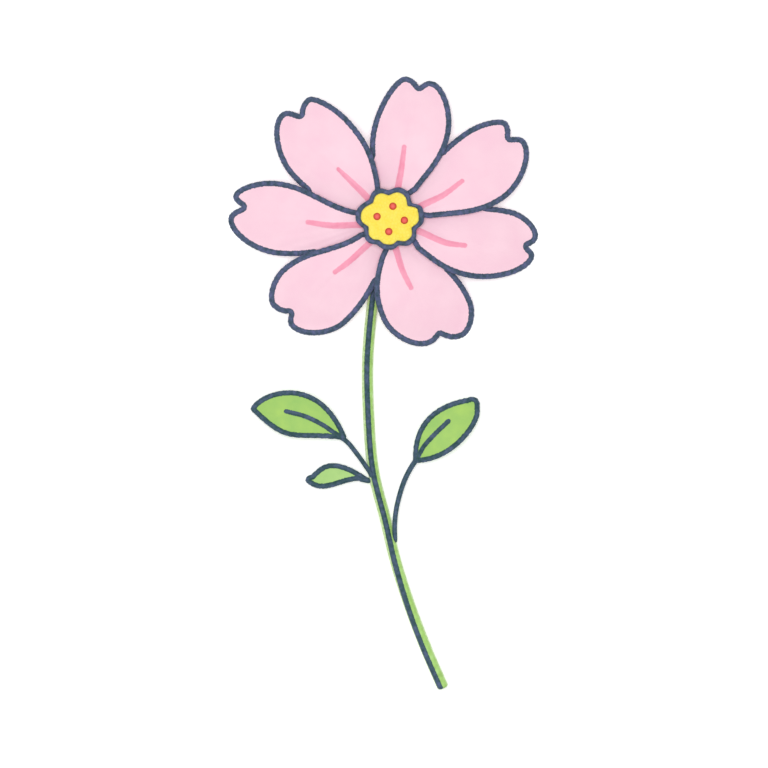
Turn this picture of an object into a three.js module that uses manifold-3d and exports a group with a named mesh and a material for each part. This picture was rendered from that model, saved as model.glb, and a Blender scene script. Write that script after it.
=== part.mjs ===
// A cut cosmos flower lying face up: seven notched petals, a lobed disc of tube florets,
// a calyx with narrow bracts, a curved stem and three leaves. Millimetres, +Z up.
// Plan positions are measured from the head's axis; +Y runs from the cut end of the stem to the head.
import * as THREE from 'three';
import { mergeVertices } from 'three/addons/utils/BufferGeometryUtils.js';
import Module from 'manifold-3d';

const wasm = await Module();
wasm.setup();

// Blades and the raised cord that runs along their edges
const bladeThick = 0.8;
const cordWidth = 1.3;
const cordThick = 1.3;

// Petals: dome of the head, and the lean that laps each petal's right margin over its neighbour's left one
const petalRoot = 3.4;
const petalRootHalf = 1.3;
const neckAt = 8;
const domeTop = 8.8;
const rootDip = 0.8;
const leanInner = 0.03;
const leanOuter = 0.046;
const camber = 0.4;
const cleftRun = 2.6;
const streakWidth = 1.3;
const streakRise = 0.3;

// Each flank: neck half-width, widest point, crown of the lobe, and how early the flank swings out.
// tip is the height of the blade's middle at its far end; notch is the bottom of the cleft.
const petals = {
  petal_top: {
    bearing: 77.5, notch: 33.9, tip: 1.1,
    left: { neck: 5.9, wide: [21, 9.4], crown: [35.8, 2.9], swing: 0.5 },
    right: { neck: 5.2, wide: [23.5, 10.3], crown: [35.8, 2.9], swing: 0.5 },
    streak: [[8, 0.3], [13, 0.1], [18.6, -0.4]],
  },
  petal_upper_right: {
    bearing: 34, notch: 36.3, tip: 1.5,
    left: { neck: 2.2, wide: [28, 7.6], crown: [37.6, 3.0], swing: 0.5 },
    right: { neck: 5.6, wide: [26, 12.3], crown: [39.0, 3.0], swing: 0.5 },
    streak: [[8.4, 1.9], [14, 2.7], [20.3, 2.3]],
  },
  petal_right: {
    bearing: 348.3, notch: 35.4, tip: -0.1,
    left: { neck: 2.5, wide: [29, 8.3], crown: [37.3, 2.8], swing: 0.5 },
    right: { neck: 6.5, wide: [22, 10.8], crown: [37.4, 2.2], swing: 0.6 },
    streak: [[7.8, 1.7], [14.8, 3.1], [20.2, 2.5]],
  },
  petal_lower_right: {
    bearing: 293, notch: 32.1, tip: 1.2,
    left: { neck: 3.1, wide: [27, 10.9], crown: [34.7, 5.0], swing: 0.5 },
    right: { neck: 6.2, wide: [22.5, 12.0], crown: [33.2, 3.2], swing: 0.75 },
    streak: [[7.8, 1.7], [13.2, 2.3], [18.8, 2.1]],
  },
  petal_lower_left: {
    bearing: 223.5, notch: 34.9, tip: 1.0,
    left: { neck: 7.2, wide: [26, 11.8], crown: [37.0, 2.7], swing: 0.6 },
    right: { neck: 2.6, wide: [28.5, 9.6], crown: [36.8, 4.2], swing: 0.14 },
    streak: [[8.2, -1.0], [15.5, -0.7], [19.4, -0.3]],
  },
  petal_left: {
    bearing: 175.7, notch: 37.3, tip: -0.1,
    left: { neck: 6.9, wide: [27, 11.6], crown: [40.4, 3.2], swing: 0.62 },
    right: { neck: 1.3, wide: [29.5, 7.2], crown: [39.6, 2.6], swing: 0.1 },
    streak: [[9, -1.9], [15.5, -2.8], [21.3, -2.7]],
  },
  petal_upper_left: {
    bearing: 131, notch: 34.6, tip: 1.4,
    left: { neck: 7.8, wide: [24.5, 12.0], crown: [37.8, 3.4], swing: 0.55 },
    right: { neck: 3.7, wide: [24.5, 8.6], crown: [36.4, 3.0], swing: 0.75 },
    streak: [[7.7, -0.9], [13, -1.2], [18, -1.6]],
  },
};

// Disc: bearing, reach and half the breadth in degrees of each lobe, then the bearing and reach
// of the cleft that follows it; lobeRound makes the lobes full and the clefts narrow
const lobes = [
  [6, 7.15, 10], [66, 6.65, 3], [117, 6.55, 2], [177, 7.25, 4], [226, 6.85, 1], [266, 6.65, 6],
  [312, 7.05, 4],
];
const clefts = [
  [34, 5.3], [93, 5.6], [139, 5.65], [203, 5.8], [244, 6.15], [288, 5.95], [336, 5.9],
];
const lobeRound = 0.75;
const discBelow = 10.9;
const discRim = 12.1;
const discCrown = 13.1;
const plugRadius = 2.6;
const plugBelow = 9.6;
const floretCount = 64;
const floretRadius = 0.58;
const floretRise = 0.55;
const floretSunk = 0.5;
const floretField = 6.6;
const antherRadius = 1;
const antherRise = 1.1;
const anthers = [[0.71, 2.87], [-3.24, 0.32], [3.58, -0.64], [-0.31, -3.45]];

// Calyx: receptacle cup under the petals, a boss between their roots, and narrow bracts
const calyxBelow = 5;
const cupTop = 6.6;
const cupRadius = 4.7;
const bossRadius = 2.9;
const bossTop = 9.3;
const bractCount = 8;
const bractReach = 10.6;
const bractHalf = 1.35;
const bractRootHalf = 0.9;
const bractThick = 0.8;
const bractBelow = 5.2;

// Stem: route of its centre line on the surface, then a bend of neckBend up into the calyx
const stemRadius = 1.4;
const stemLevel = 1.43;
const stemRidge = 0.32;
const stemRidgeSide = 14;
const neckBend = 3.05;
const stemRoute = [
  [13.3, -117.4], [9.1, -107.8], [4.8, -96.5], [1.45, -86], [-1.2, -75.2], [-4.2, -62.9],
  [-5.4, -48], [-5.6, -36], [-4.5, -22.5], [-2.9, -11],
];

// Leaves: base and tip in plan, heights there and the arch between; for each flank (along, across) its two
// handles and the shoulder where the round tip begins; the midrib with the length over which it stands up,
// and the stalk's route in space
const stalkRadius = 0.55;
const leaves = {
  leaf_upper_left: {
    base: [-11.0, -55.1], tip: [-35.0, -47.6], baseHeight: 2.6, tipHeight: 1.3, arch: 2.2, baseHalf: 0.55,
    left: [[12.9, 3.0], [13.0, 6.5], [24.4, 0.7]],
    right: [[9.8, 13.1], [22.1, 6.9], [24.8, 1.8]],
    midrib: [[2.5, 0.3], [6.6, 1.5], [11.2, 2.2], [16.3, 2.0]], ribEnd: 16.3,
    stalk: [[-13.2, -54.3, 2.75], [-10.8, -55.9, 2.7], [-8.3, -58.9, 2.8], [-5.95, -62.2, 2.9]],
  },
  leaf_lower_left: {
    base: [-5.42, -65.5], tip: [-21.2, -65.6], baseHeight: 1.7, tipHeight: 0.8, arch: 1.0, baseHalf: 0.6,
    left: [[5.6, -1.1], [10.5, 4.8], [15.3, 0.8]],
    right: [[10.9, 8.4], [13.0, 1.8], [14.7, 1.4]],
    midrib: [[3, 0.95], [6, 1.6], [8.8, 1.4], [11.6, 0.8]], ribEnd: 0,
    stalk: [],
  },
  leaf_right: {
    base: [6.1, -60.9], tip: [21.65, -45.35], baseHeight: 2.6, tipHeight: 1.5, arch: 2.2, baseHalf: 0.6,
    left: [[11.5, 11.7], [19.2, 1.5], [21.6, 1.7]],
    right: [[6.4, 7.4], [20.1, 5.5], [21.2, 1.8]],
    midrib: [[2.0, -0.4], [4.6, -1.05], [8.5, -1.25], [13.2, -1.15]], ribEnd: 13.2,
    stalk: [
      [7.6, -59.3, 2.8], [5.9, -61.4, 2.7], [3.8, -65.2, 2.6], [2.25, -70, 2.7], [1.5, -74.6, 2.9],
      [1.42, -79.8, 3.1],
    ],
  },
};

const petalPink = 0xfed7e5;
const discYellow = 0xfeea58;
const leafGreen = 0xacd675;
const stemGreen = 0xacd481;

const degrees = THREE.MathUtils.radToDeg;
const radians = THREE.MathUtils.degToRad;
const mix = THREE.MathUtils.lerp;
const smooth = THREE.MathUtils.smoothstep;
const at = (pair) => new THREE.Vector2(pair[0], pair[1]);

// From 0 at one place to 1 at the other, whichever comes first
function ramp(value, zeroAt, oneAt) {
  return zeroAt < oneAt ? smooth(value, zeroAt, oneAt) : 1 - smooth(value, oneAt, zeroAt);
}

// The point at one share of the way along and another share of the way across, from start to end
function between(start, end, along, across) {
  return at([mix(start.x, end.x, along), mix(start.y, end.y, across)]);
}

function curvePoints(start, handleA, handleB, end, steps) {
  return new THREE.CubicBezierCurve(start, handleA, handleB, end).getPoints(steps);
}

// One side of a petal: root, neck, out to the widest point, over the lobe and down into the notch
function petalFlank(flank, notch, rootHalf) {
  const root = at([petalRoot, rootHalf]);
  const neck = at([neckAt, flank.neck]);
  const wide = at(flank.wide);
  const crown = at(flank.crown);
  const cleft = at([notch, 0]);
  const claw = curvePoints(root, between(root, neck, 0.35, 0.3), between(root, neck, 0.65, 0.6), neck, 3);
  const swung = between(neck, wide, 0.35, flank.swing);
  const side = curvePoints(neck, swung, between(neck, wide, 0.6, 1), wide, 7);
  const shoulder = curvePoints(wide, between(wide, crown, 0.47, 0), between(wide, crown, 1, 0.53), crown, 6);
  const lobe = curvePoints(crown, between(crown, cleft, 0, 0.5), between(crown, cleft, 0.5, 0.78), cleft, 4);
  return [...claw, ...side.slice(1), ...shoulder.slice(1), ...lobe.slice(1)];
}

// Points moved into the blade by a share of each row's cord width; the last one moves straight back
function inset(edge, side, widths, share) {
  return edge.map((point, i) => {
    const before = edge[Math.max(i - 1, 0)];
    const after = edge[Math.min(i + 1, edge.length - 1)];
    const along = after.clone().sub(before).normalize();
    const inward = i === edge.length - 1 ? at([-1, 0]) : at([side * along.y, -side * along.x]);
    return point.clone().addScaledVector(inward, widths[i] * share);
  });
}

// One half of a blade's row, from the edge to the foot of the rib: plan point and half thickness
function halfRow(edgePoint, crestPoint, footPoint, width, centre, ribAway) {
  const half = (bladeThick / 2) * smooth(width, 0, cordWidth / 3);
  const crestHalf = mix(half, cordThick / 2, width / cordWidth);
  const ribFoot = at([centre.x, centre.y + ribAway]);
  const field = ribFoot.clone().lerp(footPoint, 0.5);
  return [[edgePoint, 0], [crestPoint, crestHalf], [footPoint, half], [field, half], [ribFoot, half]];
}

// A thin blade over its plan outline, with a cord along its edges and a rib on its middle line.
// Rows run from the left edge over the middle line to the right edge; both faces are split alike.
// In plan x runs from root to tip and y to the right-hand side; height(x, y) is the middle of the blade.
function bladeSolid({ left, right, middle, notched, height, rib }) {
  const sides = [[left, -1], [right, 1]];
  const last = left.length - 1;
  const reach = [0];
  for (let i = 1; i <= last; i += 1) {
    reach.push(reach[i - 1] + left[i].distanceTo(left[i - 1]) + right[i].distanceTo(right[i - 1]));
  }
  const line = new THREE.SplineCurve(middle);
  const spine = reach.map((length) => line.getPointAt(length / reach[last]));
  const lobeNarrowing = 0.72;
  const widthAt = (edge, i) => {
    if (notched && i > last / 2) {
      return cordWidth * mix(1, lobeNarrowing, smooth(i, last - 7, last - 3));
    }
    return Math.min(cordWidth, 0.42 * edge[i].distanceTo(spine[i]));
  };
  const widths = sides.map(([edge]) => edge.map((point, i) => widthAt(edge, i)));
  const crests = sides.map(([edge, side], k) => inset(edge, side, widths[k], 0.5));
  const feet = sides.map(([edge, side], k) => inset(edge, side, widths[k], 1));

  const rows = spine.map((centre, i) => {
    const halves = sides.map(([edge, side], k) => {
      const away = i < last ? Math.min(streakWidth / 2, 0.4 * feet[k][i].distanceTo(centre)) : 0;
      return halfRow(edge[i], crests[k][i], feet[k][i], widths[k][i], centre, side * away);
    });
    const centreHalf = Math.min(halves[0][4][1], halves[1][4][1]);
    const ridge = i < last ? rib(centre.x) : 0;
    const columns = [...halves[0], [centre, centreHalf, ridge], ...halves[1].reverse()];
    return columns.map(([place, half, rise = 0]) => {
      const level = height(place.x, place.y);
      return {
        top: [place.x, -place.y, Math.max(level + half + rise, 0)],
        below: [place.x, -place.y, Math.max(level - half, 0)],
      };
    });
  });

  const positions = [];
  const quad = (a, b, c, d) => {
    positions.push(...a, ...b, ...c, ...a, ...c, ...d);
  };
  const quadBelow = (a, b, c, d) => {
    positions.push(...a, ...c, ...b, ...a, ...d, ...c);
  };
  for (let i = 0; i < last; i += 1) {
    for (let j = 0; j < rows[i].length - 1; j += 1) {
      const [a, b, c, d] = [rows[i][j], rows[i][j + 1], rows[i + 1][j + 1], rows[i + 1][j]];
      quad(a.top, b.top, c.top, d.top);
      quadBelow(a.below, b.below, c.below, d.below);
    }
  }
  for (let j = 0; j < rows[0].length - 1; j += 1) {
    quad(rows[0][j].below, rows[0][j + 1].below, rows[0][j + 1].top, rows[0][j].top);
  }
  return solidFrom(positions);
}

function solidFrom(positions) {
  const loose = new THREE.BufferGeometry();
  loose.setAttribute('position', new THREE.Float32BufferAttribute(positions, 3));
  return solidOf(loose);
}

// Shared corners are merged and the triangles that this closes up are left out
function solidOf(geometry) {
  const bare = geometry.clone();
  for (const name of ['normal', 'uv']) {
    bare.deleteAttribute(name);
  }
  const merged = mergeVertices(bare, 1e-4);
  const corners = Array.from(merged.index.array);
  const kept = [];
  for (let i = 0; i < corners.length; i += 3) {
    const [a, b, c] = corners.slice(i, i + 3);
    if (a !== b && b !== c && c !== a) {
      kept.push(a, b, c);
    }
  }
  return new wasm.Manifold(new wasm.Mesh({
    numProp: 3,
    vertProperties: Float32Array.from(merged.attributes.position.array),
    triVerts: Uint32Array.from(kept),
  }));
}

function geometryOf(solid) {
  const mesh = solid.getMesh();
  const geometry = new THREE.BufferGeometry();
  geometry.setAttribute('position', new THREE.Float32BufferAttribute(mesh.vertProperties, 3));
  geometry.setIndex(Array.from(mesh.triVerts));
  geometry.computeVertexNormals();
  return geometry;
}

function piece(name, solid, colour, roughness) {
  const material = new THREE.MeshStandardMaterial({ color: colour, roughness, metalness: 0 });
  const mesh = new THREE.Mesh(geometryOf(solid), material);
  mesh.name = name;
  return mesh;
}

function joined(first, others) {
  return others.reduce((whole, other) => whole.add(other), first);
}

// Tube along a route, its section drawn as a closed shape
function tubeSolid(section, route, steps) {
  const stops = route.map((point) => new THREE.Vector3(...point));
  const path = new THREE.CatmullRomCurve3(stops, false, 'centripetal');
  return solidOf(new THREE.ExtrudeGeometry(section, { steps, extrudePath: path, curveSegments: 10 }));
}

function petalMesh(name, size) {
  const turn = (size.right.neck - size.left.neck) / 2 * (petalRoot / neckAt);
  const left = petalFlank(size.left, size.notch, petalRootHalf - turn);
  const right = petalFlank(size.right, size.notch, petalRootHalf + turn);
  const drop = domeTop - size.tip;
  const outer = (size.left.crown[0] + size.right.crown[0]) / 2;
  const height = (along, across) => {
    const radius = Math.hypot(along, across);
    const lean = mix(leanInner, leanOuter, smooth(radius, 7, 10));
    const swing = degrees(Math.atan2(across, along));
    const dome = radius > neckAt
      ? domeTop - drop * ((radius - neckAt) / (outer - neckAt)) ** 2
      : domeTop - rootDip * ((neckAt - radius) / (neckAt - petalRoot)) ** 2;
    return dome + lean * swing - camber * smooth(along, 8, 18) * (across / 10) ** 2;
  };
  const from = size.streak[0][0];
  const to = size.streak.at(-1)[0];
  const rib = (along) => streakRise * ramp(along, from - 1.5, from + 0.5) * ramp(along, to + 1.5, to - 0.5);
  const solid = bladeSolid({
    left: left.map((point) => at([point.x, -point.y])),
    right,
    middle: [at([petalRoot, turn]), ...size.streak.map(at), at([size.notch - cleftRun, 0])],
    notched: true,
    height,
    rib,
  });
  const mesh = piece(name, solid, petalPink, 0.7);
  mesh.rotation.z = radians(size.bearing);
  return mesh;
}

// One side of a leaf: from the base along the flank to its shoulder, then round the tip.
// Its points stand closer together towards the tip.
function leafFlank(handles, baseHalf, length, side) {
  const rows = 15;
  const crowding = 1.5;
  const [first, second, shoulder] = handles.map(([along, across]) => at([along, side * across]));
  const turnIn = shoulder.clone().sub(second).setLength((length - shoulder.x) / 2).add(shoulder);
  const path = new THREE.CurvePath();
  path.add(new THREE.CubicBezierCurve(at([0, side * baseHalf]), first, second, shoulder));
  path.add(new THREE.CubicBezierCurve(shoulder, turnIn, at([length, 0.55 * shoulder.y]), at([length, 0])));
  return Array.from({ length: rows + 1 }, (_, k) => path.getPoint(1 - (1 - k / rows) ** crowding));
}

function leafMesh(name, size) {
  const base = at(size.base);
  const axis = at(size.tip).sub(base);
  const length = axis.length();
  const bearing = Math.atan2(axis.y, axis.x);
  const trough = 0.012;
  const height = (along, across) => {
    const way = along / length;
    const line = mix(size.baseHeight, size.tipHeight, way);
    return line + size.arch * Math.sin(Math.PI * way) + trough * across ** 2;
  };
  const rib = (along) => (size.ribEnd ? streakRise * ramp(along, size.ribEnd + 1.5, size.ribEnd - 0.5) : 0);
  let solid = bladeSolid({
    left: leafFlank(size.left, size.baseHalf, length, -1),
    right: leafFlank(size.right, size.baseHalf, length, 1),
    middle: [at([0, 0]), ...size.midrib.map(at), at([length, 0])],
    notched: false,
    height,
    rib,
  });
  solid = solid.rotate([0, 0, degrees(bearing)]).translate([base.x, base.y, 0]);
  if (size.stalk.length) {
    const round = new THREE.Shape().absarc(0, 0, stalkRadius, 0, Math.PI * 2);
    solid = solid.add(tubeSolid(polygon(round, 8), size.stalk, 4 * (size.stalk.length - 1)));
  }
  return piece(name, solid, leafGreen, 0.6);
}

// A shape's outline with a fixed number of corners
function polygon(shape, corners) {
  return new THREE.Shape(shape.getSpacedPoints(corners).slice(0, corners));
}

// The stem's section is round with a low ridge on its upper side, a little left of the middle
function stemMesh() {
  const section = [];
  const footAngle = 30;
  const crestAngle = 14;
  const aroundSteps = 10;
  const neckSteps = 4;
  for (let k = 0; k <= aroundSteps; k += 1) {
    const angle = footAngle + (k * (360 - 2 * footAngle)) / aroundSteps;
    section.push([angle, stemRadius]);
  }
  section.push([360 - crestAngle, stemRadius + stemRidge], [crestAngle, stemRadius + stemRidge]);
  const corners = section.map(([angle, radius]) => {
    const turned = radians(180 + angle - stemRidgeSide);
    return at([radius * Math.cos(turned), radius * Math.sin(turned)]);
  });
  const neck = [];
  const heading = at(stemRoute.at(-1)).normalize();
  for (let k = 0; k <= neckSteps; k += 1) {
    const angle = (k / neckSteps) * (Math.PI / 2);
    const away = neckBend * (1 - Math.sin(angle));
    neck.push([heading.x * away, heading.y * away, stemLevel + neckBend * (1 - Math.cos(angle))]);
  }
  const route = [...stemRoute.map(([x, y]) => [x, y, stemLevel]), ...neck];
  return piece('stem', tubeSolid(new THREE.Shape(corners), route, 54), stemGreen, 0.6);
}

function calyxMesh() {
  const profile = [
    [0, calyxBelow], [1.8, calyxBelow], [3.4, calyxBelow + 0.4],
    [cupRadius, cupTop - 0.4], [cupRadius - 0.3, cupTop],
    [bossRadius + 0.3, cupTop], [bossRadius, cupTop + 0.3],
    [bossRadius, bossTop - 0.4], [bossRadius - 0.4, bossTop], [0, bossTop],
  ];
  const cup = solidOf(new THREE.LatheGeometry(profile.map(at), 24).rotateX(Math.PI / 2));
  const belly = bractReach * 0.55;
  const bellyHandle = bractHalf * 1.7;
  const blade = new THREE.Shape();
  blade.moveTo(0, -bractRootHalf);
  blade.quadraticCurveTo(belly, -bellyHandle, bractReach, 0);
  blade.quadraticCurveTo(belly, bellyHandle, 0, bractRootHalf);
  const options = { depth: bractThick, bevelEnabled: false, curveSegments: 4 };
  const flat = new THREE.ExtrudeGeometry(blade, options);
  const bract = solidOf(flat.translate(0, 0, bractBelow));
  const bracts = Array.from({ length: bractCount }, (_, k) => bract.rotate([0, 0, (k * 360) / bractCount]));
  return piece('calyx', joined(cup, bracts), leafGreen, 0.6);
}

// Reach of the disc's yellow face at a bearing: broad round lobes with narrow clefts between them
function discReach(bearing) {
  const marks = lobes.flatMap((lobe, k) => [lobe, clefts[k]]);
  const turn = (angle) => ((angle % 360) + 360) % 360;
  for (let k = 0; k < marks.length; k += 1) {
    const from = marks[k];
    const to = marks[(k + 1) % marks.length];
    const span = turn(to[0] - from[0]);
    const past = turn(bearing - from[0]);
    if (past <= span) {
      const [lobe, cleft, away] = k % 2 ? [to, from, span - past] : [from, to, past];
      const way = Math.max(away - lobe[2], 0) / (span - lobe[2]);
      return mix(cleft[1], lobe[1], ((1 + Math.cos(Math.PI * way)) / 2) ** lobeRound);
    }
  }
  return lobes[0][1];
}

// Level of the dome's surface at a share of the way from the disc's middle to its reach
function domeLevel(share) {
  return discRim + (discCrown - discRim) * (1 - share ** 2);
}

// Bearings round the disc: each lobe's crown, its cleft and two places on either side
function discSpokes() {
  const shares = [0.35, 0.7];
  return lobes.flatMap(([crown], k) => {
    const cleft = clefts[k][0];
    const next = lobes[(k + 1) % lobes.length][0] + (k === lobes.length - 1 ? 360 : 0);
    const before = shares.map((share) => mix(crown, cleft, share));
    const after = shares.map((share) => mix(next, cleft, share)).reverse();
    return [crown, ...before, cleft, ...after];
  });
}

// The disc without its florets: a plug between the petals' roots, the rim's cord and a low dome
function discCore() {
  const spokes = discSpokes();
  // Each ring: share of the face's reach, width added to it, level
  const rings = [
    [0, plugRadius, plugBelow], [0, plugRadius + 1.2, plugBelow + 0.7], [0, plugRadius + 2.5, discBelow],
    [1, 0.2, discBelow], [1, cordWidth, discBelow + 0.55], [1, cordWidth / 2, discRim + 0.35],
    [1, 0, discRim - 0.1], [0.68, 0, domeLevel(0.68)], [0.35, 0, domeLevel(0.35)],
  ];
  const loops = rings.map(([share, extra, level]) => spokes.map((bearing) => {
    const radius = discReach(bearing) * share + extra;
    return [radius * Math.cos(radians(bearing)), radius * Math.sin(radians(bearing)), level];
  }));
  const positions = [];
  for (let k = 0; k < spokes.length; k += 1) {
    const n = (k + 1) % spokes.length;
    positions.push(0, 0, plugBelow, ...loops[0][n], ...loops[0][k]);
    for (let ring = 0; ring < loops.length - 1; ring += 1) {
      const [a, b, c, d] = [loops[ring][k], loops[ring][n], loops[ring + 1][n], loops[ring + 1][k]];
      positions.push(...a, ...b, ...c, ...a, ...c, ...d);
    }
    positions.push(0, 0, discCrown, ...loops.at(-1)[k], ...loops.at(-1)[n]);
  }
  return solidFrom(positions);
}

// Tube florets in a sunflower spiral over the dome, left out where an anther stands
function discFlorets() {
  const goldenAngle = 137.508;
  const tall = floretSunk + floretRise;
  const florets = [];
  for (let k = 0; k < floretCount; k += 1) {
    const bearing = k * goldenAngle;
    const radius = floretField * Math.sqrt((k + 0.5) / floretCount);
    const x = radius * Math.cos(radians(bearing));
    const y = radius * Math.sin(radians(bearing));
    const clear = anthers.every((anther) => Math.hypot(x - anther[0], y - anther[1]) > antherRadius + 0.5);
    if (clear && radius < discReach(bearing) - floretRadius) {
      const foot = domeLevel(radius / discReach(bearing)) - floretSunk;
      const bud = new THREE.CylinderGeometry(floretRadius * 0.6, floretRadius, tall, 5);
      bud.rotateX(Math.PI / 2).rotateZ(radians(bearing)).translate(x, y, foot + tall / 2);
      florets.push(solidOf(bud));
    }
  }
  return florets;
}

function discAnthers() {
  const tall = floretSunk + antherRise;
  const profile = [
    [0, 0], [antherRadius, 0], [antherRadius, tall * 0.7], [antherRadius * 0.6, tall * 0.94], [0, tall],
  ];
  return anthers.map(([x, y]) => {
    const share = Math.hypot(x, y) / discReach(degrees(Math.atan2(y, x)));
    const knob = new THREE.LatheGeometry(profile.map(at), 10).rotateX(Math.PI / 2);
    return solidOf(knob.translate(x, y, domeLevel(share) - floretSunk));
  });
}

function discMesh() {
  return piece('disc', joined(discCore(), [...discFlorets(), ...discAnthers()]), discYellow, 0.6);
}

const flower = new THREE.Group();
flower.name = 'cosmos_flower';
flower.add(stemMesh(), calyxMesh(), discMesh());
for (const [name, size] of Object.entries(petals)) {
  flower.add(petalMesh(name, size));
}
for (const [name, size] of Object.entries(leaves)) {
  flower.add(leafMesh(name, size));
}

// The origin is under the middle of the flower's box, on the surface it lies on
const box = new THREE.Box3().setFromObject(flower, true);
flower.position.set(-(box.min.x + box.max.x) / 2, -(box.min.y + box.max.y) / 2, -box.min.z);

export default flower;
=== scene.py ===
import math

import bpy
import numpy as np
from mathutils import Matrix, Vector


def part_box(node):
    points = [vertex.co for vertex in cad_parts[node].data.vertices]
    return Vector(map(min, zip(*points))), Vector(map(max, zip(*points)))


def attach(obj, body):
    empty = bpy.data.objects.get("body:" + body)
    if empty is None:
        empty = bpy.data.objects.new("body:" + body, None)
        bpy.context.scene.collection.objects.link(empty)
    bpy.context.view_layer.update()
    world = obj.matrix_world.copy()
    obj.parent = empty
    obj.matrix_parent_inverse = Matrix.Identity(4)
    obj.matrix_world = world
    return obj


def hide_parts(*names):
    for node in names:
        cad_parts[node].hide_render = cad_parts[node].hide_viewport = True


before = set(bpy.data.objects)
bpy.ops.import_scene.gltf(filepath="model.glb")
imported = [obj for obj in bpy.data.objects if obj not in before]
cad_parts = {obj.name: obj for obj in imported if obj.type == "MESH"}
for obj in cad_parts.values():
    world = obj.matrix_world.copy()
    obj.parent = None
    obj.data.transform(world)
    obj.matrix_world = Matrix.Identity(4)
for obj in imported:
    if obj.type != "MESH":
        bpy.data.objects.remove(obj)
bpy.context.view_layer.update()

mm = 0.001
routeStep = 0.25      # mm between the points of a smooth line
stretchSteps = 40     # steps for each stretch of it, before it is cut evenly
leastLevel = 0.02     # a route more upright than this keeps its last level heading
calyxLow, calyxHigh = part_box("calyx")
headAxis = np.array([(calyxLow.x + calyxHigh.x) / 2, (calyxLow.y + calyxHigh.y) / 2, 0])
print("frame loaded,", len(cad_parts), "nodes")


# all plans are in mm from the head's axis

def smooth(value, low, high):
    share = np.clip((np.asarray(value, float) - low) / (high - low), 0, 1)
    return share * share * (3 - 2 * share)


def mix(a, b, share):
    return a + (b - a) * share


def paint(red, green, blue):
    # a screen colour, 0 to 255, as the shader wants it
    def linear(level):
        level = level / 255
        return level / 12.92 if level <= 0.04045 else ((level + 0.055) / 1.055) ** 2.4
    return (linear(red), linear(green), linear(blue), 1)


def bezier(start, handleA, handleB, end, steps):
    t = np.linspace(0, 1, steps + 1)[:, None]
    corners = [np.asarray(point, float) for point in (start, handleA, handleB, end)]
    return ((1 - t) ** 3 * corners[0] + 3 * t * (1 - t) ** 2 * corners[1]
            + 3 * t ** 2 * (1 - t) * corners[2] + t ** 3 * corners[3])


def between(start, end, along, across):
    return [mix(start[0], end[0], along), mix(start[1], end[1], across)]


def reachAlong(line):
    # distance from the start of a line to each of its points
    return np.concatenate([[0], np.cumsum(np.linalg.norm(np.diff(line, axis=0), axis=1))])


def pointsAt(stops, line):
    # the points of a line at given distances from its start
    reach = reachAlong(line)
    return np.column_stack([np.interp(stops, reach, line[:, k]) for k in range(line.shape[1])])


def smoothRoute(points, spacing):
    # centripetal spline through given points, cut into even steps
    points = np.asarray(points, float)
    points = np.vstack([2 * points[0] - points[1], points, 2 * points[-1] - points[-2]])
    fine = []
    for a, b, c, d in zip(points, points[1:], points[2:], points[3:]):
        gaps = [math.sqrt(np.linalg.norm(q - p)) for p, q in ((a, b), (b, c), (c, d))]
        slopeB = ((b - a) / gaps[0] - (c - a) / (gaps[0] + gaps[1]) + (c - b) / gaps[1]) * gaps[1]
        slopeC = ((c - b) / gaps[1] - (d - b) / (gaps[1] + gaps[2]) + (d - c) / gaps[2]) * gaps[1]
        fine.extend(bezier(b, b + slopeB / 3, c - slopeC / 3, c, stretchSteps)[:-1])
    fine = np.array(fine + [points[-2]])
    length = reachAlong(fine)[-1]
    return pointsAt(np.linspace(0, length, int(round(length / spacing)) + 1), fine)


def distanceTo(places, line):
    # nearest distance in plan from each place to a line of points
    best = np.full(len(places), 1e9)
    for start, end in zip(line[:-1], line[1:]):
        step = end - start
        share = np.clip((places - start) @ step / max(step @ step, 1e-12), 0, 1)
        best = np.minimum(best, np.linalg.norm(places - start - share[:, None] * step, axis=1))
    return best


def onlySelect(*pieces):
    bpy.ops.object.select_all(action="DESELECT")
    for piece in pieces:
        piece.select_set(True)
    bpy.context.view_layer.objects.active = pieces[0]


def shapedGrid(name, places):
    # a flat grid whose points then go to their places, in mm, row by row
    rows, columns = places.shape[:2]
    bpy.ops.mesh.primitive_grid_add(x_subdivisions=columns - 1, y_subdivisions=rows - 1, size=1)
    piece = bpy.context.object
    piece.name = name
    flat = np.empty(len(piece.data.vertices) * 3)
    piece.data.vertices.foreach_get("co", flat)
    flat = flat.reshape(-1, 3)
    column = np.rint((flat[:, 0] + 0.5) * (columns - 1)).astype(int)
    row = np.rint((flat[:, 1] + 0.5) * (rows - 1)).astype(int)
    piece.data.vertices.foreach_set("co", (places[row, column] * mm + headAxis).ravel())
    piece.data.update()
    return piece, row, column


# marks for ink and streaks say how far outside a drawn line a point lies, in mm, negative inside it
farOff, allInk = 5.0, -1.0


def setMark(piece, mark, values):
    # a number kept on each point, which a material reads
    layer = piece.data.attributes.new(mark, "FLOAT", "POINT")
    layer.data.foreach_set("value", np.asarray(values, np.float32))


def closeSkin(piece):
    onlySelect(piece)
    bpy.ops.object.mode_set(mode="EDIT")
    bpy.ops.mesh.select_all(action="SELECT")
    bpy.ops.mesh.remove_doubles(threshold=1e-6)
    bpy.ops.mesh.fill_holes(sides=0)
    bpy.ops.mesh.select_all(action="SELECT")
    bpy.ops.mesh.normals_make_consistent(inside=False)
    bpy.ops.object.mode_set(mode="OBJECT")
    bpy.ops.object.shade_smooth()


def joinPieces(name, pieces):
    onlySelect(*pieces)
    bpy.ops.object.join()
    whole = bpy.context.object
    whole.name = name
    return whole


def putOn(piece, node):
    # the finished piece rides with the flower and stands for its CAD node
    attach(piece, "root")
    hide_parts(node)


def newMaterial(name):
    material = bpy.data.materials.new(name)
    material.use_nodes = True
    return material, material.node_tree


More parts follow.
